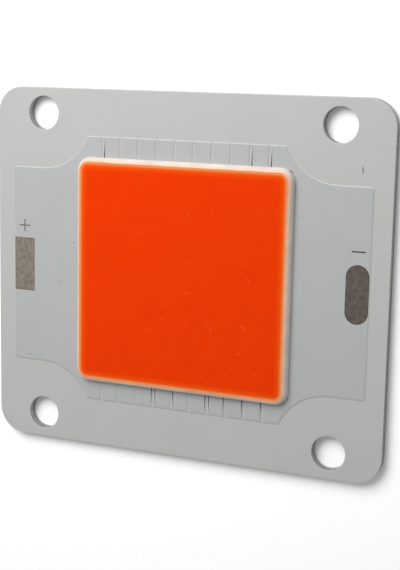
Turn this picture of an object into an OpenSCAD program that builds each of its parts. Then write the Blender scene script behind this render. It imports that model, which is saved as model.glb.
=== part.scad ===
// Flip-chip COB LED: a square light-emitting surface on a metal-core board.
// An aluminium plate carries an insulating layer, a copper circuit cut into zones
// in series, and a white solder mask that follows the copper's relief. LED chips
// bridge the gaps between the zones. A silicone dam round them holds the phosphor
// gel. The origin is the centre of the board's back, with the chips facing +Z.

/* [Board] */
// Length of the board, along X
board_l = 46; // [45:0.5:50]
// Width of the board, along Y
board_w = 40; // [39:0.5:46]
// Radius of the board's four corners
board_corner_r = 3; // [1:0.25:4]
// Thickness of the aluminium plate
plate_t = 1.0; // [0.8:0.1:3]
// Thickness of the insulating layer on the plate
dielectric_t = 0.1; // [0.06:0.01:0.2]

/* [Screw holes] */
// Distance from the board's left and right edges to the hole centres
hole_edge_x = 5.8; // [5:0.1:6.2]
// Distance from the board's front and back edges to the hole centres
hole_edge_y = 2.8; // [2.6:0.1:3.2]
// Diameter of the screw holes
hole_d = 3.75; // [3.2:0.05:4]
// Radius round each hole centre that the copper stays out of
hole_clear_r = 6.2; // [5.4:0.1:6.6]

/* [Copper circuit] */
// Thickness of the copper
copper_t = 0.07; // [0.035:0.005:0.14]
// Distance from the board's left and right edges to the copper
copper_edge_x = 2.1; // [1.5:0.1:2.5]
// Distance from the board's front and back edges to the copper
copper_edge_y = 5.25; // [4:0.25:6.5]
// Radius of the circuit's outer corners
copper_corner_r = 0.3; // [0.1:0.05:0.6]
// Number of chips in series, one for each gap between zones
series = 10; // [6:1:10]
// Width of the gap between two zones
zone_gap = 0.3; // [0.2:0.02:0.4]

/* [Solder mask] */
// Thickness of the mask, on the board and over the copper
mask_t = 0.03; // [0.02:0.005:0.04]

/* [Solder pads] */
// Width of the square-ended positive pad, along X
positive_pad_w = 2.54; // [2:0.05:3.5]
// Length of the positive pad, along Y
positive_pad_l = 6.06; // [4:0.05:8]
// Width of the round-ended negative pad, along X
negative_pad_w = 2.5; // [2:0.05:3.5]
// Length of the negative pad, along Y
negative_pad_l = 6.2; // [4:0.05:8]
// Thickness of the tin on the copper in each pad
tin_t = 0.02; // [0.01:0.005:0.02]

/* [LED chips] */
// Side of each square chip
chip_w = 1.14; // [0.96:0.02:1.2]
// Thickness of a chip
chip_t = 0.15; // [0.1:0.01:0.25]
// Number of chips in parallel in each series stage
parallel = 12; // [6:1:12]
// Distance from the dam's foot to the first and last stage, along X
stage_clear = 1.21; // [0.4:0.01:1.5]
// Distance from the dam's foot to the end chips of each stage, along Y
row_clear = 0.48; // [0.2:0.02:1.2]
// Distance that a solder joint stays inside the chip's outline
joint_inset = 0.05; // [0.02:0.01:0.08]
// Distance from the edge of a copper zone to the solder joint
joint_setback = 0.04; // [0.02:0.01:0.08]
// Height of the chip's underside above the mask
joint_standoff = 0.03; // [0.02:0.005:0.06]

/* [Dam] */
// Side of the square that the dam's crest follows
crest_w = 24.1; // [23.6:0.1:25]
// Radius of the crest line at its corners
crest_r = 0.95; // [0.75:0.05:2]
// Width of the silicone bead
bead_w = 1.1; // [0.8:0.05:1.4]
// Height of the bead above the mask
bead_h = 0.9; // [0.75:0.05:1.2]

/* [Phosphor gel] */
// Distance that the gel's edge stays short of the crest
gel_setback = 0.05; // [0.02:0.01:0.12]
// Height of the gel's surface above the crest
gel_rise = 0.03; // [0.02:0.01:0.1]

/* [Hidden] */
$fn = 96;

// Heights of the layers, from the board's back
dielectric_z = plate_t;
copper_z = dielectric_z + dielectric_t;
copper_top = copper_z + copper_t;
groove_z = copper_z + mask_t;
mask_top = copper_top + mask_t;
chip_z = mask_top + joint_standoff;
crest_z = mask_top + bead_h;
gel_top = crest_z + gel_rise;

// Copper outline: its straight sides run into the arcs round the screw holes
hole_pitch_x = board_l - 2 * hole_edge_x;
hole_pitch_y = board_w - 2 * hole_edge_y;
circuit_l = board_l - 2 * copper_edge_x;
circuit_w = hole_pitch_y - 2 * hole_clear_r;
zone_l = board_w - 2 * copper_edge_y;

// A chip's two solder joints, one on each side of the gap
joint_w = (chip_w - zone_gap) / 2 - joint_inset - joint_setback;
joint_l = chip_w - 2 * joint_inset;
joint_x = zone_gap / 2 + joint_setback + joint_w / 2;

// Outlines of the dam, of the well inside its foot and of the gel
dam_w = crest_w + bead_w;
dam_r = crest_r + bead_w / 2;
well_w = crest_w - bead_w;
well_r = crest_r - bead_w / 2;
gel_w = crest_w - 2 * gel_setback;
gel_r = crest_r - gel_setback;

// The chips fill the well: one stage to each gap, along X, and one row to each chip, along Y
zone_pitch = (well_w - chip_w - 2 * stage_clear) / (series - 1);
row_pitch = (well_w - chip_w - 2 * row_clear) / (parallel - 1);

// Extra length of a cut, so that it passes through both faces
through = 1;

// X of the centre of gap i, counted from 1 at the positive side
function gap_x(i) = (i - (series + 1) / 2) * zone_pitch;

// Y of chip k of a stage, counted from 1 at the front
function chip_y(k) = (k - (parallel + 1) / 2) * row_pitch;

module rounded_rect(l, w, r) {
    square([l - 2 * r, w], center = true);
    square([l, w - 2 * r], center = true);
    for (x = [-1, 1], y = [-1, 1])
        translate([x * (l / 2 - r), y * (w / 2 - r)])
            circle(r);
}

module at_holes() {
    for (x = [-1, 1], y = [-1, 1])
        translate([x * hole_pitch_x / 2, y * hole_pitch_y / 2])
            children();
}

module board_outline() {
    difference() {
        rounded_rect(board_l, board_w, board_corner_r);
        at_holes()
            circle(d = hole_d);
    }
}

// Outline of the whole circuit. grow adds the thickness of a coat over its sides.
module circuit_outline(grow = 0) {
    difference() {
        union() {
            rounded_rect(circuit_l + 2 * grow, circuit_w + 2 * grow, copper_corner_r + grow);
            square([hole_pitch_x, zone_l + 2 * grow], center = true);
        }
        at_holes()
            circle(hole_clear_r - grow);
    }
}

// Part of that outline on zone i, from 0 at the positive side to series at the negative
module zone_outline(i, grow = 0) {
    left = i == 0 ? -board_l / 2 : gap_x(i) + zone_gap / 2 - grow;
    right = i == series ? board_l / 2 : gap_x(i + 1) - zone_gap / 2 + grow;
    intersection() {
        circuit_outline(grow);
        translate([left, -board_w / 2])
            square([right - left, board_w]);
    }
}

module zone(i) {
    translate([0, 0, copper_z])
        linear_extrude(copper_t)
            zone_outline(i);
}

module positive_pad_outline() {
    translate([(positive_pad_w - circuit_l) / 2, 0])
        square([positive_pad_w, positive_pad_l], center = true);
}

module negative_pad_outline() {
    translate([(circuit_l - negative_pad_w) / 2, 0]) {
        square([negative_pad_w, negative_pad_l - negative_pad_w], center = true);
        for (end = [-1, 1])
            translate([0, end * (negative_pad_l - negative_pad_w) / 2])
                circle(d = negative_pad_w);
    }
}

// Both joints of every chip in stage i, seen from above
module joint_outlines(i) {
    for (k = [1 : parallel], side = [-1, 1])
        translate([gap_x(i) + side * joint_x, chip_y(k)])
            square([joint_w, joint_l], center = true);
}

// What is cast over the mask also fills the hollows that the mask leaves between zones
module hollow_fill() {
    translate([0, 0, groove_z])
        linear_extrude(mask_top - groove_z)
            difference() {
                children();
                for (i = [0 : series])
                    zone_outline(i, mask_t);
            }
}

module base_plate() {
    color("#b4b6b4")
        linear_extrude(plate_t)
            board_outline();
}

module dielectric_layer() {
    color("#8f938c")
        translate([0, 0, dielectric_z])
            linear_extrude(dielectric_t)
                board_outline();
}

module positive_bus() {
    color("#b8713f")
        zone(0);
}

module copper_strip(i) {
    color("#b8713f")
        zone(i);
}

module negative_bus() {
    color("#b8713f")
        zone(series);
}

// One printed coat: flat on the board, a step up over each zone, open at pads and joints
module solder_mask() {
    color("#c3c4c2")
        difference() {
            translate([0, 0, copper_z]) {
                linear_extrude(mask_t)
                    board_outline();
                for (i = [0 : series])
                    linear_extrude(copper_t + mask_t)
                        zone_outline(i, mask_t);
            }
            for (i = [0 : series])
                zone(i);
            translate([0, 0, copper_top])
                linear_extrude(mask_t + through) {
                    positive_pad_outline();
                    negative_pad_outline();
                    for (i = [1 : series])
                        joint_outlines(i);
                }
        }
}

module positive_pad() {
    color("#918a80")
        translate([0, 0, copper_top])
            linear_extrude(tin_t)
                positive_pad_outline();
}

module negative_pad() {
    color("#6b625e")
        translate([0, 0, copper_top])
            linear_extrude(tin_t)
                negative_pad_outline();
}

module solder_joints(i) {
    color("#a9abad")
        translate([0, 0, copper_top])
            linear_extrude(chip_z - copper_top)
                joint_outlines(i);
}

module led_chips(i) {
    color("#d9e4f2")
        for (k = [1 : parallel])
            translate([gap_x(i) - chip_w / 2, chip_y(k) - chip_w / 2, chip_z])
                cube([chip_w, chip_w, chip_t]);
}

// Section of the bead, centred on the crest: straight foot, round top
module bead_section() {
    translate([-bead_w / 2, 0])
        square([bead_w, bead_h - bead_w / 2]);
    intersection() {
        translate([0, bead_h - bead_w / 2])
            circle(d = bead_w);
        translate([-bead_w / 2, 0])
            square([bead_w, bead_h]);
    }
}

// The bead carried once round the square: four straight runs and four corners
module bead_ring() {
    run = crest_w - 2 * crest_r;
    for (turn = [0 : 3])
        rotate(90 * turn) {
            translate([crest_w / 2, run / 2, 0])
                rotate([90, 0, 0])
                    linear_extrude(run)
                        bead_section();
            translate([run / 2, run / 2, 0])
                rotate_extrude(angle = 90)
                    translate([crest_r, 0])
                        bead_section();
        }
}

module dam() {
    color("#e9e8e4") {
        translate([0, 0, mask_top])
            bead_ring();
        hollow_fill()
            difference() {
                rounded_rect(dam_w, dam_w, dam_r);
                rounded_rect(well_w, well_w, well_r);
            }
    }
}

// Fills the dam up to its crest and takes the form of all that it covers
module phosphor_gel() {
    color("#f04200")
        difference() {
            union() {
                translate([0, 0, mask_top])
                    linear_extrude(gel_top - mask_top)
                        rounded_rect(gel_w, gel_w, gel_r);
                hollow_fill()
                    rounded_rect(well_w, well_w, well_r);
            }
            translate([0, 0, mask_top])
                bead_ring();
            for (i = [1 : series]) {
                solder_joints(i);
                led_chips(i);
            }
        }
}

base_plate();
dielectric_layer();
positive_bus();
for (i = [1 : series - 1])
    copper_strip(i);
negative_bus();
solder_mask();
positive_pad();
negative_pad();
dam();
for (i = [1 : series])
    solder_joints(i);
for (i = [1 : series])
    led_chips(i);
phosphor_gel();
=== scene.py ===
# A flip-chip COB LED, lying on its back: an aluminium-core board whose white solder mask
# follows the copper under it, two tinned pads, and a square of orange phosphor gel in a
# white silicone dam. Lengths are written in millimetres, times MM.
import math
import random

import bmesh
import bpy
from mathutils import Matrix, Vector, noise


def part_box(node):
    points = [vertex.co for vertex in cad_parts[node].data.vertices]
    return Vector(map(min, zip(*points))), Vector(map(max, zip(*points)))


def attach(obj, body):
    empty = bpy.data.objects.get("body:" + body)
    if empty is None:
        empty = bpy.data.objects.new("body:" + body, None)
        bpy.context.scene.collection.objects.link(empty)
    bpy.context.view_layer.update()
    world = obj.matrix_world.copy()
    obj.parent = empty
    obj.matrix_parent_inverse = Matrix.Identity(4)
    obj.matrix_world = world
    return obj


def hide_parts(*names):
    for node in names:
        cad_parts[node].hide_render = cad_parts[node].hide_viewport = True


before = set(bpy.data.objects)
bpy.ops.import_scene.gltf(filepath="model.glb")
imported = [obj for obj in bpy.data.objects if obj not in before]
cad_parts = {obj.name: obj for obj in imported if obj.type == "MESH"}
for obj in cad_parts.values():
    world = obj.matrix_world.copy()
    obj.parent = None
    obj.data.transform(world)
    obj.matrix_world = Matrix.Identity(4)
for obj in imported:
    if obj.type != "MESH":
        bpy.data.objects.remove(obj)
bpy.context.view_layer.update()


# Base plate. 1 mm aluminium sheet, punched to its outline and drilled for four screws.
# Punching rounds its rims a little and leaves upright shear marks round its sides, and
# the mill leaves fine lines along its bare back.
MM = 0.001
PLATE_RIM = 0.05 * MM
SHEAR_MARK = 0.12 * MM
MILL_LINE = 0.15 * MM
SAME_CORNER = 0.0005 * MM
SAME_FACE = math.radians(1)
CREASE = math.radians(40)


def srgb(code):
    """A colour written as an sRGB hex value, as linear red, green, blue and alpha."""
    channels = [int(code[i:i + 2], 16) / 255 for i in (1, 3, 5)]
    return [c / 12.92 if c <= 0.04045 else ((c + 0.055) / 1.055) ** 2.4 for c in channels] + [1.0]


def material(name, finish):
    """A new material, with the constants of its finish set on the shader's own sockets."""
    made = bpy.data.materials.new(name)
    made.use_nodes = True
    shader = made.node_tree.nodes["Principled BSDF"]
    for socket, value in finish.items():
        shader.inputs[socket].default_value = value
    return made, made.node_tree, shader


def add(tree, kind, inputs=None, **settings):
    """Adds a node. Each of inputs is a value for that socket, or the output to link to it."""
    made = tree.nodes.new(kind)
    for name, value in settings.items():
        setattr(made, name, value)
    for socket, value in (inputs or {}).items():
        if isinstance(value, bpy.types.NodeSocket):
            tree.links.new(value, made.inputs[socket])
        else:
            made.inputs[socket].default_value = value
    return made


def cad_copy(*names):
    """A copy of CAD nodes, with their loose triangles merged into whole faces."""
    copy = bmesh.new()
    for name in names:
        copy.from_mesh(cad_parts[name].data)
    bmesh.ops.remove_doubles(copy, verts=copy.verts, dist=SAME_CORNER)
    bmesh.ops.dissolve_limit(copy, angle_limit=SAME_FACE, verts=copy.verts, edges=copy.edges)
    return copy


def flat_rims(mesh):
    """The edges between a level face and an upright one."""
    return [
        e for e in mesh.edges
        if e.is_manifold and sorted(round(abs(f.normal.z)) for f in e.link_faces) == [0, 1]
    ]


def bevel(mesh, edges, width, segments):
    bmesh.ops.bevel(mesh, geom=edges, offset=width, offset_type="OFFSET", affect="EDGES",
                    segments=segments, profile=0.5, material=-1)


def piece(name, mesh, finish, slot, *nodes, smooth=True):
    """Makes a bmesh a piece of the object, which stands for those CAD nodes."""
    data = bpy.data.meshes.new(name)
    mesh.to_mesh(data)
    mesh.free()
    data.materials.append(finish)
    made = bpy.data.objects.new(name, data)
    bpy.context.scene.collection.objects.link(made)
    if smooth:
        data.shade_smooth()
        data.set_sharp_from_angle(angle=CREASE)
        made.modifiers.new("even_shading", "WEIGHTED_NORMAL").keep_sharp = True
    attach(made, "root")
    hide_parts(*nodes)
    return made


def punched_aluminium():
    """Mill-finish aluminium: satin, with shear marks on the sides and lines on the back."""
    finish, tree, shader = material("punched_aluminium", {
        "Base Color": srgb("#b9bab8"), "Metallic": 1.0, "Roughness": 0.42,
    })
    place = add(tree, "ShaderNodeTexCoord").outputs["Object"]
    upright = add(tree, "ShaderNodeMapping", {"Vector": place, "Scale": (1.0, 1.0, 0.04)})
    shear = add(tree, "ShaderNodeTexNoise", {
        "Vector": upright.outputs[0], "Scale": 1 / SHEAR_MARK, "Detail": 4.0, "Roughness": 0.6})
    along = add(tree, "ShaderNodeMapping", {"Vector": place, "Scale": (0.02, 1.0, 1.0)})
    mill = add(tree, "ShaderNodeTexNoise", {
        "Vector": along.outputs[0], "Scale": 1 / MILL_LINE, "Detail": 3.0, "Roughness": 0.55})
    normal = add(tree, "ShaderNodeNewGeometry").outputs["Normal"]
    facing = add(tree, "ShaderNodeSeparateXYZ", {0: normal})
    level = add(tree, "ShaderNodeMath", {0: facing.outputs["Z"]}, operation="ABSOLUTE")
    marks = add(tree, "ShaderNodeMix", {
        "Factor": level.outputs[0], "A": shear.outputs["Fac"], "B": mill.outputs["Fac"]})
    tone = add(tree, "ShaderNodeMix", {
        "Factor": marks.outputs["Result"], "A": srgb("#6f7170"), "B": srgb("#adaeac")}, data_type="RGBA")
    dull = add(tree, "ShaderNodeMapRange", {
        "Value": marks.outputs["Result"], "To Min": 0.5, "To Max": 0.32})
    bump = add(tree, "ShaderNodeBump", {
        "Height": marks.outputs["Result"], "Strength": 0.5, "Distance": 0.02 * MM})
    tree.links.new(tone.outputs["Result"], shader.inputs["Base Color"])
    tree.links.new(dull.outputs[0], shader.inputs["Roughness"])
    tree.links.new(bump.outputs[0], shader.inputs["Normal"])
    return finish


plate = cad_copy("base_plate")
bevel(plate, flat_rims(plate), PLATE_RIM, 2)
piece("punched_base_plate", plate, punched_aluminium(), "aluminium", "base_plate")


# Insulating layer. Epoxy filled with ceramic powder, pressed on the plate before punching, so
# it ends flush with the plate's sides and shows there as a thin grey line.
FILLER_GRAIN = 0.05 * MM


def filled_epoxy():
    """Ceramic-filled epoxy: matt, grey, with pale specks of filler."""
    finish, tree, shader = material("filled_epoxy", {"Roughness": 0.7, "IOR": 1.55})
    place = add(tree, "ShaderNodeTexCoord").outputs["Object"]
    filler = add(tree, "ShaderNodeTexNoise", {"Vector": place, "Scale": 1 / FILLER_GRAIN, "Detail": 2.0})
    tone = add(tree, "ShaderNodeMix", {
        "Factor": filler.outputs["Fac"], "A": srgb("#777b74"), "B": srgb("#a3a69f")}, data_type="RGBA")
    tree.links.new(tone.outputs["Result"], shader.inputs["Base Color"])
    return finish


def refinish(finish, *names):
    """Gives CAD nodes that are shown as they are a new finish."""
    for name in names:
        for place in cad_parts[name].material_slots:
            place.material = finish


refinish(filled_epoxy(), "dielectric_layer")


# Copper zones. 0.07 mm copper foil, etched into eleven zones in series: a bus with its tab at
# each end and nine strips between them. The mask hides all of it but its relief.
STRIPS = 9
ETCH_GRAIN = 0.08 * MM


def etched_copper():
    """Bare rolled copper: a warm satin metal, a little patchy from the etch."""
    finish, tree, shader = material("etched_copper", {"Metallic": 1.0, "Roughness": 0.35})
    place = add(tree, "ShaderNodeTexCoord").outputs["Object"]
    etch = add(tree, "ShaderNodeTexNoise", {"Vector": place, "Scale": 1 / ETCH_GRAIN, "Detail": 3.0})
    tone = add(tree, "ShaderNodeMix", {
        "Factor": etch.outputs["Fac"], "A": srgb("#a8623a"), "B": srgb("#d08c5e")}, data_type="RGBA")
    bump = add(tree, "ShaderNodeBump", {
        "Height": etch.outputs["Fac"], "Strength": 0.3, "Distance": 0.005 * MM})
    tree.links.new(tone.outputs["Result"], shader.inputs["Base Color"])
    tree.links.new(bump.outputs[0], shader.inputs["Normal"])
    return finish


zones = ["positive_bus", *[f"copper_strip_{i}" for i in range(1, STRIPS + 1)], "negative_bus"]
refinish(etched_copper(), *zones)


# Solder mask. White epoxy ink, screened over board and copper in one coat. The ink draws thin
# over the copper's edges, pools at their foot and rolls over at the rims of the board.
COPPER_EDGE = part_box("negative_bus")[1].x
MASK_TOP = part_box("solder_mask")[1].z
MASK_T = MASK_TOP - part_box("negative_bus")[1].z
SHEET_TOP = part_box("dielectric_layer")[1].z + MASK_T
BEAD_W = 1.1 * MM
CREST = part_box("dam")[1].x - BEAD_W / 2
PAD_L = 6.2 * MM
PAD_W = 2.54 * MM
PAD_CLEAR = 0.2 * MM
NEAR = 0.002 * MM
ON_PLANE = 0.0001 * MM
LEVEL = 0.99
UPRIGHT = 0.1
SHOULDER_W = 0.14 * MM
SHOULDER_DROP = 0.009 * MM
SHEET_RIM_W = 0.1 * MM
RIM_DROP = 0.016 * MM
POOL_RISE = 0.045 * MM
INK_BLOTCH = 5 * MM
INK_GRAIN = 0.25 * MM


def cut(mesh, axis, at):
    """Splits the faces that cross the plane at that x or y, and moves nothing."""
    normal = Vector((axis == "x", axis == "y", 0))
    bmesh.ops.bisect_plane(mesh, geom=mesh.verts[:] + mesh.edges[:] + mesh.faces[:],
                           plane_co=normal * at, plane_no=normal, dist=ON_PLANE)


def level_faces(mesh, z, wanted):
    """The level faces at that height whose middles are wanted."""
    middles = [(f, f.calc_center_median()) for f in mesh.faces if f.normal.z > LEVEL]
    return [f for f, middle in middles if abs(middle.z - z) < NEAR and wanted(middle)]


def clear_of_dam(point):
    return max(abs(point.x), abs(point.y)) > CREST - NEAR


def on_open_copper(point):
    by_pad_x = abs(point.x) > COPPER_EDGE - PAD_W - PAD_CLEAR
    by_pad_y = abs(point.y) < PAD_L / 2 + PAD_CLEAR
    beside_pad = by_pad_x and by_pad_y
    return clear_of_dam(point) and abs(point.x) < COPPER_EDGE + NEAR and not beside_pad


def draw_in(mesh, z, width, wanted):
    """Merges slivers into the walls beside them, insets the level faces at that height, and
    returns the corners left along their rims."""
    level = [v for v in mesh.verts if abs(v.co.z - z) < NEAR]
    on_walls = [v for v in level if any(abs(f.normal.z) < UPRIGHT for f in v.link_faces)]
    doubles = bmesh.ops.find_doubles(mesh, verts=level, keep_verts=on_walls, dist=width)
    bmesh.ops.weld_verts(mesh, targetmap=doubles["targetmap"])
    bmesh.ops.inset_region(mesh, faces=level_faces(mesh, z, wanted), thickness=width,
                           use_even_offset=True, use_boundary=True)
    walls = {v for f in mesh.faces if abs(f.normal.z) < UPRIGHT for v in f.verts}
    return [v for v in walls if abs(v.co.z - z) < NEAR and wanted(v.co)]


def screened_ink():
    """White epoxy ink: satin, yellower where thick on the board, cooler and greyer on copper, with a
    painted highlight where it rolls over the rims of the board and the holes.
    """
    finish, tree, shader = material("white_solder_mask", {
        "Roughness": 0.5, "IOR": 1.5, "Specular IOR Level": 0.35})
    place = add(tree, "ShaderNodeTexCoord").outputs["Object"]
    height = add(tree, "ShaderNodeSeparateXYZ", {0: place}).outputs["Z"]
    coat = add(tree, "ShaderNodeMapRange", {
        "Value": height, "From Min": SHEET_TOP - RIM_DROP, "From Max": MASK_TOP})
    tone = add(tree, "ShaderNodeValToRGB", {"Fac": coat.outputs[0]})
    span = MASK_TOP - SHEET_TOP + RIM_DROP
    stops = tone.color_ramp.elements
    # The first stop, at the foot of the rolled rims round the board and the holes, is lighter: a painted
    # highlight along those edges.
    stops[0].color = srgb("#b9b9b7")
    stops[1].color = srgb("#a3a4a4")
    for z, code in (
        (SHEET_TOP, "#aaaaa9"),
        (SHEET_TOP + POOL_RISE, "#bcbcba"),
        (MASK_TOP - 2 * SHOULDER_DROP, "#9d9e9e"),
        (MASK_TOP - SHOULDER_DROP, "#9a9b9b"),
    ):
        stops.new((z - SHEET_TOP + RIM_DROP) / span).color = srgb(code)
    blotch = add(tree, "ShaderNodeTexNoise", {"Vector": place, "Scale": 1 / INK_BLOTCH, "Detail": 3.0})
    soil = add(tree, "ShaderNodeMapRange", {
        "Value": blotch.outputs["Fac"], "From Min": 0.3, "From Max": 0.7, "To Min": 0.0, "To Max": 0.1})
    soiled = add(tree, "ShaderNodeMix", {
        "Factor": soil.outputs[0], "A": tone.outputs["Color"], "B": srgb("#8f9492")}, data_type="RGBA")
    grain = add(tree, "ShaderNodeTexNoise", {"Vector": place, "Scale": 1 / INK_GRAIN, "Detail": 2.0})
    bump = add(tree, "ShaderNodeBump", {
        "Height": grain.outputs["Fac"], "Strength": 0.15, "Distance": 0.004 * MM})
    tree.links.new(soiled.outputs["Result"], shader.inputs["Base Color"])
    tree.links.new(bump.outputs[0], shader.inputs["Normal"])
    return finish


mask = cad_copy("solder_mask")
for side in (-1, 1):
    cut(mask, "x", side * CREST)
    cut(mask, "y", side * CREST)
    cut(mask, "x", side * COPPER_EDGE)
    cut(mask, "x", side * (COPPER_EDGE - PAD_W - PAD_CLEAR))
    cut(mask, "y", side * (PAD_L / 2 + PAD_CLEAR))
for corner in draw_in(mask, MASK_TOP, SHOULDER_W, on_open_copper):
    corner.co.z -= SHOULDER_DROP
for corner in draw_in(mask, SHEET_TOP, SHEET_RIM_W, clear_of_dam):
    highest = max(e.other_vert(corner).co.z for e in corner.link_edges)
    under_a_wall = highest > SHEET_TOP + SHOULDER_DROP
    corner.co.z += POOL_RISE if under_a_wall else -RIM_DROP
mask_ink = screened_ink()
piece("solder_mask_coat", mask, mask_ink, "white_mask", "solder_mask", smooth=False)


# Solder pads. Bare copper in the mask's two windows, tinned by hot air: the tin stands a
# little domed inside its rim and has dulled to grey, the negative pad more than the positive.
PAD_RIM = 0.12 * MM
TIN_DOME = 0.006 * MM
TIN_SPANGLE = 0.55 * MM
TIN_DRAG = 0.25 * MM


def dull_tin(name, dark, light, rim):
    """Oxidised tin: dull, mottled along the way the air knife drew it, and darker at its rim: partly the
    tin's own meniscus, partly painted shadow of the mask's wall.
    """
    finish, tree, shader = material(name, {"Metallic": 0.35, "Roughness": 0.5})
    place = add(tree, "ShaderNodeTexCoord").outputs["Object"]
    drawn = add(tree, "ShaderNodeMapping", {"Vector": place, "Scale": (1.0, 0.3, 1.0)})
    drag = add(tree, "ShaderNodeTexNoise", {
        "Vector": drawn.outputs[0], "Scale": 1 / TIN_DRAG, "Detail": 3.0, "Roughness": 0.6})
    spangle = add(tree, "ShaderNodeTexNoise", {"Vector": place, "Scale": 1 / TIN_SPANGLE, "Detail": 2.0})
    both = add(tree, "ShaderNodeMix", {
        "Factor": 0.5, "A": drag.outputs["Fac"], "B": spangle.outputs["Fac"]})
    spread = add(tree, "ShaderNodeMapRange", {
        "Value": both.outputs["Result"], "From Min": 0.35, "From Max": 0.65})
    tone = add(tree, "ShaderNodeMix", {
        "Factor": spread.outputs[0], "A": srgb(dark), "B": srgb(light)}, data_type="RGBA")
    inside = add(tree, "ShaderNodeAttribute", attribute_name="inside")
    # The rim colour is partly the tin's meniscus and partly painted shadow cast by the mask's wall.
    rim_meniscus_and_shade = add(tree, "ShaderNodeMix", {
        "Factor": inside.outputs["Fac"], "A": srgb(rim), "B": tone.outputs["Result"]}, data_type="RGBA")
    bump = add(tree, "ShaderNodeBump", {
        "Height": both.outputs["Result"], "Strength": 0.5, "Distance": 0.01 * MM})
    tree.links.new(rim_meniscus_and_shade.outputs["Result"], shader.inputs["Base Color"])
    tree.links.new(bump.outputs[0], shader.inputs["Normal"])
    return finish


def tinned_pad(node, finish):
    """A pad whose tin stands domed inside its rim."""
    pad = cad_copy(node)
    top = [f for f in pad.faces if f.normal.z > LEVEL]
    bmesh.ops.inset_region(pad, faces=top, thickness=PAD_RIM, use_even_offset=True)
    inside = pad.verts.layers.float.new("inside")
    for corner in {v for f in top for v in f.verts}:
        corner[inside] = 1.0
        corner.co.z += TIN_DOME
    piece(node + "_tin", pad, finish, "tinned_pad", node)


# The last colour of each is its rim: the meniscus, darkened further by painted shadow from the mask's
# wall.
tinned_pad("positive_pad", dull_tin("dulled_tin", "#6d665d", "#8b847a", "#5f5a53"))
tinned_pad("negative_pad", dull_tin("dark_tin", "#4a413d", "#645a53", "#38312e"))


# Polarity marks. A plus over one pad and a minus over the other, printed in dark grey ink on
# the mask, under a hundredth of a millimetre thick.
MARK_Y = 4.45 * MM
STROKE = 0.15 * MM
PLUS_SPAN = 1.38 * MM
MINUS_L = 1.47 * MM
INK_T = 0.008 * MM
INK_BREAK = 0.12 * MM


def marking_ink(name, dark, light):
    """Screen-printed ink: matt, greyer where the print ran thin."""
    finish, tree, shader = material(name, {"Roughness": 0.6, "IOR": 1.5})
    place = add(tree, "ShaderNodeTexCoord").outputs["Object"]
    thin = add(tree, "ShaderNodeTexNoise", {"Vector": place, "Scale": 1 / INK_BREAK, "Detail": 2.0})
    spread = add(tree, "ShaderNodeMapRange", {
        "Value": thin.outputs["Fac"], "From Min": 0.4, "From Max": 0.7})
    tone = add(tree, "ShaderNodeMix", {
        "Factor": spread.outputs[0], "A": srgb(dark), "B": srgb(light)}, data_type="RGBA")
    tree.links.new(tone.outputs["Result"], shader.inputs["Base Color"])
    return finish


pad_x = [(low.x + high.x) / 2 for low, high in (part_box("positive_pad"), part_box("negative_pad"))]
minus = bmesh.new()
bmesh.ops.create_cube(minus, size=1)
bmesh.ops.scale(minus, vec=(MINUS_L, STROKE, INK_T), verts=minus.verts)
bmesh.ops.translate(minus, vec=(pad_x[1], MARK_Y, MASK_TOP + INK_T / 2), verts=minus.verts)
bevel(minus, [e for e in flat_rims(minus) if e.verts[0].co.z > MASK_TOP + INK_T / 2], INK_T / 2, 2)
piece("minus_mark", minus, marking_ink("black_marking_ink", "#2c2b2b", "#4a4848"), "white_mask")

plus = bmesh.new()
bmesh.ops.create_grid(plus, x_segments=3, y_segments=3, size=PLUS_SPAN / 2)
for corner in plus.verts:
    for axis in (0, 1):
        if abs(corner.co[axis]) < PLUS_SPAN / 3:
            corner.co[axis] = math.copysign(STROKE / 2, corner.co[axis])
outer = [
    f for f in plus.faces
    if min(abs(f.calc_center_median().x), abs(f.calc_center_median().y)) > STROKE
]
bmesh.ops.delete(plus, geom=outer, context="FACES")
raised = bmesh.ops.extrude_face_region(plus, geom=plus.faces[:], use_keep_orig=True)["geom"]
face_up = [g for g in raised if isinstance(g, bmesh.types.BMVert)]
bmesh.ops.translate(plus, vec=(0, 0, INK_T), verts=face_up)
bmesh.ops.recalc_face_normals(plus, faces=plus.faces)
bmesh.ops.translate(plus, vec=(pad_x[0], MARK_Y, MASK_TOP), verts=plus.verts)
piece("plus_mark", plus, marking_ink("grey_marking_ink", "#4f4f4e", "#7c7c7b"), "white_mask")


# Solder joints. Tin-silver paste, screened through the mask's windows and melted under each
# half of every chip. They lie under the gel.
STAGES = 10
REFLOW_GRAIN = 0.06 * MM


def reflowed_solder():
    """Reflowed solder: bright and slightly frosted."""
    finish, tree, shader = material("reflowed_solder", {"Metallic": 1.0, "Base Color": srgb("#b9bcc0")})
    place = add(tree, "ShaderNodeTexCoord").outputs["Object"]
    frost = add(tree, "ShaderNodeTexNoise", {"Vector": place, "Scale": 1 / REFLOW_GRAIN, "Detail": 3.0})
    dull = add(tree, "ShaderNodeMapRange", {"Value": frost.outputs["Fac"], "To Min": 0.2, "To Max": 0.5})
    tree.links.new(dull.outputs[0], shader.inputs["Roughness"])
    return finish


refinish(reflowed_solder(), *[f"solder_joints_{i}" for i in range(1, STAGES + 1)])


# LED chips. Twelve blue chips to a stage, each a slip of sapphire with its contacts below,
# bridging the gap between two zones.
SAW_LINE = 0.03 * MM


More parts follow.
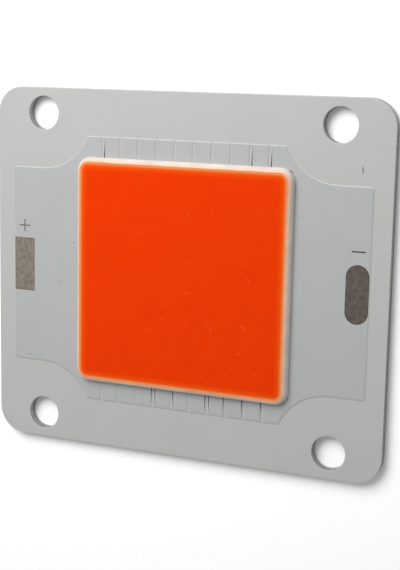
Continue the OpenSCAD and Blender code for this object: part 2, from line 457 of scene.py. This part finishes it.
def sawn_sapphire():
    """Sapphire die: glassy, pale blue, with fine lines left by the dicing saw."""
    finish, tree, shader = material("sawn_sapphire", {"IOR": 1.77, "Coat Weight": 0.4})
    place = add(tree, "ShaderNodeTexCoord").outputs["Object"]
    along = add(tree, "ShaderNodeMapping", {"Vector": place, "Scale": (0.05, 1.0, 1.0)})
    saw = add(tree, "ShaderNodeTexNoise", {
        "Vector": along.outputs[0], "Scale": 1 / SAW_LINE, "Detail": 2.0})
    tone = add(tree, "ShaderNodeMix", {
        "Factor": saw.outputs["Fac"], "A": srgb("#b9c9e2"), "B": srgb("#e4ecf7")}, data_type="RGBA")
    dull = add(tree, "ShaderNodeMapRange", {"Value": saw.outputs["Fac"], "To Min": 0.08, "To Max": 0.3})
    tree.links.new(tone.outputs["Result"], shader.inputs["Base Color"])
    tree.links.new(dull.outputs[0], shader.inputs["Roughness"])
    return finish


refinish(sawn_sapphire(), *[f"led_chips_{i}" for i in range(1, STAGES + 1)])


# Dam. One bead of white silicone, laid round the chips by a needle and cured. It slumps to a
# broad round section, wavers a little, and is thicker where its end meets its start.
CREST_R = 0.95 * MM
BEAD_H = 0.9 * MM
BEAD_SIDES = 32
SLUMP = 0.85
RUN_STEPS = 40
TURN_STEPS = 8
WAVER = 0.03 * MM
WAVER_LENGTH = 2.2 * MM
WAVER_SEED = 46
LAP = Vector((CREST, CREST - 2 * CREST_R))
LAP_SWELL = 0.08 * MM
LAP_LENGTH = 0.9 * MM
# How far out from the inner edge the painted orange glow of the gel reaches.
PAINTED_GLOW_REACH = 0.5 * MM


def bead_section(mesh):
    """The bead's closed section at the start of its first run, standing on the mask."""
    made = bmesh.ops.create_circle(mesh, segments=BEAD_SIDES, radius=1)["verts"]
    for v in made:
        v.co = Vector((v.co.x * BEAD_W / 2, 0, max(v.co.y, 0) ** SLUMP * BEAD_H))
    bmesh.ops.translate(mesh, vec=(CREST, CREST_R - CREST, MASK_TOP), verts=made)


def lay_bead(mesh):
    """Carries the section once round the square: four straight runs and four corners."""
    run = 2 * (CREST - CREST_R)
    section = mesh.edges[:]
    for side in range(4):
        ahead = Vector((0, run / RUN_STEPS, 0))
        turned = Matrix.Rotation(math.radians(90 * side), 3, "Z")
        for _ in range(RUN_STEPS):
            grown = bmesh.ops.extrude_edge_only(mesh, edges=section)["geom"]
            section = [g for g in grown if isinstance(g, bmesh.types.BMEdge)]
            corners = {v for e in section for v in e.verts}
            bmesh.ops.translate(mesh, vec=turned @ ahead, verts=list(corners))
        centre = turned @ Vector((CREST - CREST_R, CREST - CREST_R, 0))
        turn = bmesh.ops.spin(mesh, geom=section, cent=centre, axis=(0, 0, 1), angle=math.radians(90),
                              steps=TURN_STEPS)["geom_last"]
        section = [g for g in turn if isinstance(g, bmesh.types.BMEdge)]
    bmesh.ops.remove_doubles(mesh, verts=mesh.verts, dist=NEAR)
    bmesh.ops.recalc_face_normals(mesh, faces=mesh.faces)


def cast_silicone():
    """White silicone: glossy and translucent; the orange in its inner half is a painted glow of the gel's
    light, faded by distance from the inner edge.
    """
    finish, tree, shader = material("white_silicone", {
        "Roughness": 0.28, "IOR": 1.41, "Subsurface Weight": 0.25, "Subsurface Scale": 0.25 * MM,
        "Subsurface Radius": (1.0, 0.8, 0.7)})
    place = add(tree, "ShaderNodeTexCoord").outputs["Object"]
    cloud = add(tree, "ShaderNodeTexNoise", {"Vector": place, "Scale": 1 / WAVER_LENGTH, "Detail": 2.0})
    outward = add(tree, "ShaderNodeAttribute", attribute_name="outward").outputs["Fac"]
    # Painted light: the gel's orange glow through the silicone's inner half, faded by the distance
    # outward.
    painted_glow = add(tree, "ShaderNodeValToRGB", {"Fac": outward})
    stops = painted_glow.color_ramp.elements
    stops[0].color = srgb("#dd8a5c")
    stops[1].color = srgb("#e2dedb")
    for at, code in ((0.2, "#e4ae8b"), (0.45, "#e4c3ab"), (0.75, "#e3d4c8")):
        stops.new(at).color = srgb(code)
    warm = add(tree, "ShaderNodeMix", {
        "Factor": cloud.outputs["Fac"], "A": painted_glow.outputs["Color"], "B": srgb("#dedad6")},
        data_type="RGBA", blend_type="MULTIPLY")
    bump = add(tree, "ShaderNodeBump", {
        "Height": cloud.outputs["Fac"], "Strength": 0.4, "Distance": 0.05 * MM})
    tree.links.new(warm.outputs["Result"], shader.inputs["Base Color"])
    tree.links.new(bump.outputs[0], shader.inputs["Normal"])
    return finish


def fill_gaps(mesh):
    """Presses the bead's foot down into the hollow over each gap between two zones."""
    gaps = [
        (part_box(left)[1].x + MASK_T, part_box(right)[0].x - MASK_T)
        for left, right in zip(zones, zones[1:])
    ]
    for low, high in gaps:
        cut(mesh, "x", low)
        cut(mesh, "x", high)
    feet = [
        f for f in mesh.faces
        if f.normal.z < -LEVEL and abs(f.calc_center_median().z - MASK_TOP) < NEAR
        and any(low < f.calc_center_median().x < high for low, high in gaps)
    ]
    sunk = bmesh.ops.extrude_face_region(mesh, geom=feet)["geom"]
    down = [g for g in sunk if isinstance(g, bmesh.types.BMVert)]
    bmesh.ops.translate(mesh, vec=(0, 0, SHEET_TOP - MASK_TOP), verts=down)
    bmesh.ops.delete(mesh, geom=feet, context="FACES_ONLY")


dam = bmesh.new()
bead_section(dam)
lay_bead(dam)
noise.seed_set(WAVER_SEED)
outward = dam.verts.layers.float.new("outward")
for v in dam.verts:
    round_x, round_y = (max(abs(a) - CREST + CREST_R, 0) for a in v.co.xy)
    v[outward] = max(0.0, min(1.0, (math.hypot(round_x, round_y) - CREST_R) / PAINTED_GLOW_REACH))
    height = (v.co.z - MASK_TOP) / BEAD_H
    waver = noise.noise_vector(v.co / WAVER_LENGTH) * WAVER
    swell = LAP_SWELL * math.exp(-((v.co.xy - LAP).length / LAP_LENGTH) ** 2)
    v.co += Vector((waver.x + swell, waver.y + swell, 0.5 * waver.z)) * height
fill_gaps(dam)
piece("silicone_dam", dam, cast_silicone(), "white_silicone", "dam")


# Phosphor gel. Silicone loaded with red phosphor, poured level with the dam's crest and cured.
# It creeps up the bead in a meniscus, so thin at its rim that the white shows through.
RIM_SINK = 0.05 * MM
MENISCUS = ((0.08, 0.032), (0.1, 0.018), (0.12, 0.009), (0.15, 0.003), (0.17, 0.0), (0.2, 0.0))
MENISCUS_W = sum(width for width, drop in MENISCUS)
PHOSPHOR_GRAIN = 0.06 * MM
GEL_SWELL = 2.5 * MM


def phosphor_silicone():
    """Phosphor in silicone: saturated orange, glossy, fading to peach where it thins at the rim."""
    finish, tree, shader = material("phosphor_silicone", {
        "Roughness": 0.2, "IOR": 1.41, "Specular IOR Level": 0.08})
    place = add(tree, "ShaderNodeTexCoord").outputs["Object"]
    depth = add(tree, "ShaderNodeAttribute", attribute_name="depth").outputs["Fac"]
    thick = add(tree, "ShaderNodeValToRGB", {"Fac": depth})
    stops = thick.color_ramp.elements
    stops[0].color = srgb("#dd8c5f")
    stops[1].color = srgb("#d93500")
    for at, code in ((0.12, "#da7139"), (0.25, "#d9591a"), (0.42, "#da4806"), (0.7, "#da3f00")):
        stops.new(at).color = srgb(code)
    patch = add(tree, "ShaderNodeTexNoise", {"Vector": place, "Scale": 1 / GEL_SWELL, "Detail": 3.0})
    uneven = add(tree, "ShaderNodeMapRange", {
        "Value": patch.outputs["Fac"], "From Min": 0.3, "From Max": 0.7, "To Max": 0.25})
    tone = add(tree, "ShaderNodeMix", {
        "Factor": uneven.outputs[0], "A": thick.outputs["Color"], "B": srgb("#c92d00")}, data_type="RGBA")
    shade = add(tree, "ShaderNodeMix", {
        "Factor": depth, "A": thick.outputs["Color"], "B": tone.outputs["Result"]}, data_type="RGBA")
    grain = add(tree, "ShaderNodeTexNoise", {"Vector": place, "Scale": 1 / PHOSPHOR_GRAIN, "Detail": 2.0})
    skin = add(tree, "ShaderNodeBump", {
        "Height": grain.outputs["Fac"], "Strength": 0.2, "Distance": 0.004 * MM})
    swell = add(tree, "ShaderNodeBump", {
        "Height": patch.outputs["Fac"], "Strength": 0.4, "Distance": 0.05 * MM,
        "Normal": skin.outputs[0]})
    tree.links.new(shade.outputs["Result"], shader.inputs["Base Color"])
    tree.links.new(swell.outputs[0], shader.inputs["Normal"])
    return finish


gel = cad_copy("phosphor_gel")
gel_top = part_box("phosphor_gel")[1].z
surface = [f for f in gel.faces if f.normal.z > LEVEL and f.calc_center_median().z > gel_top - NEAR]
depth = gel.verts.layers.float.new("depth")
rim = {v for f in surface for v in f.verts}
for v in rim:
    v.co.z -= RIM_SINK
reach = 0
for width, drop in MENISCUS:
    bmesh.ops.inset_region(gel, faces=surface, thickness=width * MM, use_even_offset=True)
    reach += width
    for v in {v for f in surface for v in f.verts}:
        v.co.z = gel_top - drop * MM
        v[depth] = reach / MENISCUS_W
piece("gel_fill", gel, phosphor_silicone(), "phosphor_silicone", "phosphor_gel")


# Dirt. Dust and lint that settled on the mask and stuck to the gel, and two scuffs. Each speck
# is x, y, length, width and the angle it lies at.
DARK_SPECKS = (
    (-15.2, -1.65, 0.16, 0.12, 20), (-19.0, -10.5, 0.18, 0.14, 60), (13.6, 7.7, 0.14, 0.1, 0),
    (12.15, 12.2, 0.42, 0.16, -45), (14.0, 6.9, 0.08, 0.07, 0), (-6.3, 15.9, 0.08, 0.07, 0),
)
GREY_SCUFFS = ((19.7, 12.8, 0.8, 0.12, 95), (-13.35, 2.9, 0.9, 0.1, 0))
GEL_GRAINS = 190
GEL_FIBRES = 16
FIBRE_STEPS = 7
FIBRE_R = 0.022 * MM
DUST_FUZZ = 0.05 * MM
LINT_MARGIN = 0.8 * MM
GEL_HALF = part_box("phosphor_gel")[1].x - LINT_MARGIN
GRAIN_W = (0.03, 0.08)
GRAIN_DRIFT_X = 0.7
GRAIN_DRIFT_Y = 0.75
FIBRE_STEP = (0.05, 0.12)
FIBRE_BEND = 0.7
FIBRE_LEFT = -0.85
FIBRE_SPREAD = 1.8
FIBRE_DRIFT = 0.6
FIBRE_Y = (-0.9, 0.75)


def settled_dust(name, dark, light):
    """Dust and lint: matt, with a fuzzy mottle."""
    finish, tree, shader = material(name, {"Roughness": 0.85})
    place = add(tree, "ShaderNodeTexCoord").outputs["Object"]
    fuzz = add(tree, "ShaderNodeTexNoise", {"Vector": place, "Scale": 1 / DUST_FUZZ})
    tone = add(tree, "ShaderNodeMix", {
        "Factor": fuzz.outputs["Fac"], "A": srgb(dark), "B": srgb(light)}, data_type="RGBA")
    tree.links.new(tone.outputs["Result"], shader.inputs["Base Color"])
    return finish


def speck(mesh, x, y, z, length, width, angle):
    """Adds one flattened grain, lying on the surface at z."""
    made = bmesh.ops.create_icosphere(mesh, subdivisions=1, radius=0.5)["verts"]
    bmesh.ops.scale(mesh, vec=(length, width, width / 2), verts=made)
    bmesh.ops.rotate(mesh, matrix=Matrix.Rotation(math.radians(angle), 3, "Z"), verts=made)
    bmesh.ops.translate(mesh, vec=(x, y, z), verts=made)


def specks(name, rows, z, finish):
    """A piece of dirt made of those specks."""
    mesh = bmesh.new()
    for x, y, length, width, angle in rows:
        speck(mesh, x * MM, y * MM, z, length * MM, width * MM, angle)
    piece(name, mesh, finish, "white_mask")


def fibre(mesh, start, heading, bend, step):
    """Adds one curled hair: a three-sided thread extruded along an arc on the gel."""
    ring = bmesh.ops.create_circle(mesh, segments=3, radius=FIBRE_R)["verts"]
    upright = Matrix.Rotation(math.radians(90), 3, "X")
    ahead = Matrix.Rotation(heading - math.radians(90), 3, "Z")
    bmesh.ops.rotate(mesh, matrix=ahead @ upright, verts=ring)
    bmesh.ops.translate(mesh, vec=start, verts=ring)
    edges = list(dict.fromkeys(e for v in ring for e in v.link_edges))
    bmesh.ops.contextual_create(mesh, geom=edges)
    centre = Vector(start)
    for _ in range(FIBRE_STEPS):
        grown = bmesh.ops.extrude_edge_only(mesh, edges=edges)["geom"]
        edges = [g for g in grown if isinstance(g, bmesh.types.BMEdge)]
        corners = list({v for e in edges for v in e.verts})
        move = Vector((math.cos(heading), math.sin(heading), 0)) * step
        bmesh.ops.translate(mesh, vec=move, verts=corners)
        centre += move
        bmesh.ops.rotate(mesh, cent=centre, matrix=Matrix.Rotation(bend, 3, "Z"), verts=corners)
        heading += bend
    bmesh.ops.contextual_create(mesh, geom=edges)


specks("dust_specks", DARK_SPECKS, MASK_TOP, settled_dust("dark_dust", "#3a3936", "#5c5b59"))
specks("mask_scuffs", GREY_SCUFFS, MASK_TOP, settled_dust("grey_scuff", "#858684", "#959694"))

scatter = random.Random(46)
lint = bmesh.new()
for _ in range(GEL_GRAINS):
    x = GEL_HALF * (2 * scatter.random() ** GRAIN_DRIFT_X - 1)
    y = GEL_HALF * (1 - 2 * scatter.random() ** GRAIN_DRIFT_Y)
    width = scatter.uniform(*GRAIN_W) * MM
    speck(lint, x, y, gel_top, width * scatter.uniform(1, 2), width, scatter.uniform(0, 180))
for _ in range(GEL_FIBRES):
    x = GEL_HALF * (FIBRE_SPREAD * scatter.random() ** FIBRE_DRIFT + FIBRE_LEFT)
    y = GEL_HALF * scatter.uniform(*FIBRE_Y)
    heading = scatter.uniform(0, math.tau)
    bend = scatter.uniform(-FIBRE_BEND, FIBRE_BEND)
    fibre(lint, (x, y, gel_top), heading, bend, scatter.uniform(*FIBRE_STEP) * MM)
bmesh.ops.recalc_face_normals(lint, faces=lint.faces)
piece("gel_lint", lint, settled_dust("lint_on_gel", "#e25a22", "#f08050"), "phosphor_silicone")
burnt = settled_dust("burnt_speck", "#4a2010", "#7a3a18")
specks("gel_speck", ((11.5, -9.9, 0.2, 0.14, 30),), gel_top, burnt)


# Floor. A sheet of white card under soft studio light, which isn't part of the object. Card is
# matt and almost even, with a faint fibre.
FLOOR_HALF = 400 * MM
CARD_GRAIN = 0.5 * MM

floor = bmesh.new()
bmesh.ops.create_grid(floor, x_segments=1, y_segments=1, size=FLOOR_HALF)
card_data = bpy.data.meshes.new("floor")
floor.to_mesh(card_data)
floor.free()
card, tree, shader = material("white_card", {"Roughness": 0.9, "Specular IOR Level": 0.1})
place = add(tree, "ShaderNodeTexCoord").outputs["Object"]
pulp = add(tree, "ShaderNodeTexNoise", {"Vector": place, "Scale": 1 / CARD_GRAIN})
tone = add(tree, "ShaderNodeMix", {
    "Factor": pulp.outputs["Fac"], "A": srgb("#fbfbfb"), "B": srgb("#ffffff")}, data_type="RGBA")
tree.links.new(tone.outputs["Result"], shader.inputs["Base Color"])
card_data.materials.append(card)
floor_object = bpy.data.objects.new("floor", card_data)
bpy.context.scene.collection.objects.link(floor_object)


# Light and camera. One softbox beyond the far edge and to the left, so the face grows darker
# towards the front, and a pale room. The camera looks down on the face from the right.
SOFTBOX_AT = Vector((-45, 100, 125)) * MM
SOFTBOX_W = 130 * MM
SOFTBOX_WATTS = 0.318
ROOM_WHITE = "#ffffff"
ROOM_STRENGTH = 0.45
LENS = 80.57
CAMERA_AT = Vector((55.706, 23.603, 125.259)) * MM
CAMERA_TURN = (-9.622, 23.542, 1.257)

softbox = bpy.data.lights.new("softbox", "AREA")
softbox.shape = "DISK"
softbox.size = SOFTBOX_W
softbox.energy = SOFTBOX_WATTS
softbox_object = bpy.data.objects.new("softbox", softbox)
softbox_object.location = SOFTBOX_AT
softbox_object.rotation_euler = (-SOFTBOX_AT).to_track_quat("-Z", "Y").to_euler()
bpy.context.scene.collection.objects.link(softbox_object)

room = bpy.data.worlds.new("room")
room.use_nodes = True
room.node_tree.nodes["Background"].inputs["Color"].default_value = srgb(ROOM_WHITE)
room.node_tree.nodes["Background"].inputs["Strength"].default_value = ROOM_STRENGTH
bpy.context.scene.world = room

view = bpy.data.cameras.new("camera")
view.lens = LENS
view.clip_start = 1 * MM
camera = bpy.data.objects.new("camera", view)
camera.location = CAMERA_AT
camera.rotation_euler = [math.radians(a) for a in CAMERA_TURN]
bpy.context.scene.collection.objects.link(camera)
bpy.context.scene.camera = camera
bpy.context.scene.view_settings.view_transform = "Standard"
